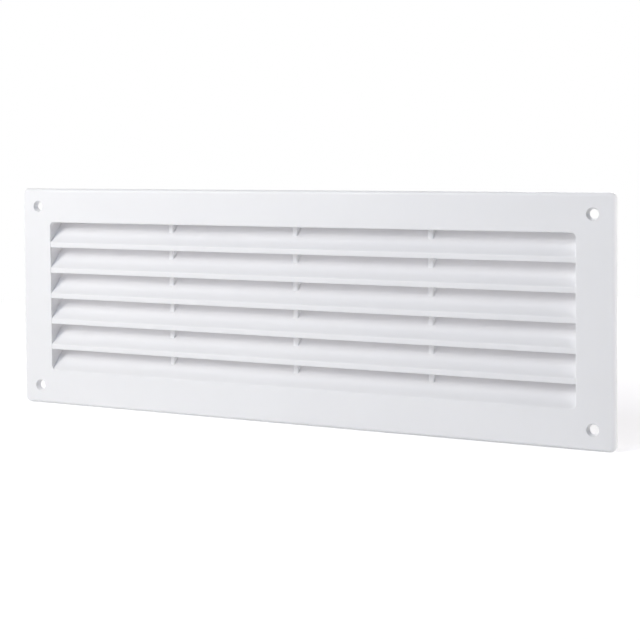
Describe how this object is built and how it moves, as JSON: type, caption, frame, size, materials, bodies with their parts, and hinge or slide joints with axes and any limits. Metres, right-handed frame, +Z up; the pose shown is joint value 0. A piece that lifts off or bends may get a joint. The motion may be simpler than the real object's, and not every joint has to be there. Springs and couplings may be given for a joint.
{
  "type": "ventilation grille",
  "caption": "White moulded louvre grille for a wall or door vent: flat rounded frame with countersunk screw holes, sloping slats tied by upright ribs, and a rear collar.",
  "frame": {"origin": "middle of the screw holes, on the wall plane that the flange rim meets", "axes": "+X along the width, +Y into the wall, +Z up; the louvres face -Y"},
  "size_m": [0.368, 0.0162, 0.13],
  "materials": {
    "white_plastic": "satin, as moulded"
  },
  "bodies": {
    "root": {"louvre_grille": "white_plastic"}
  },
  "joints": []
}
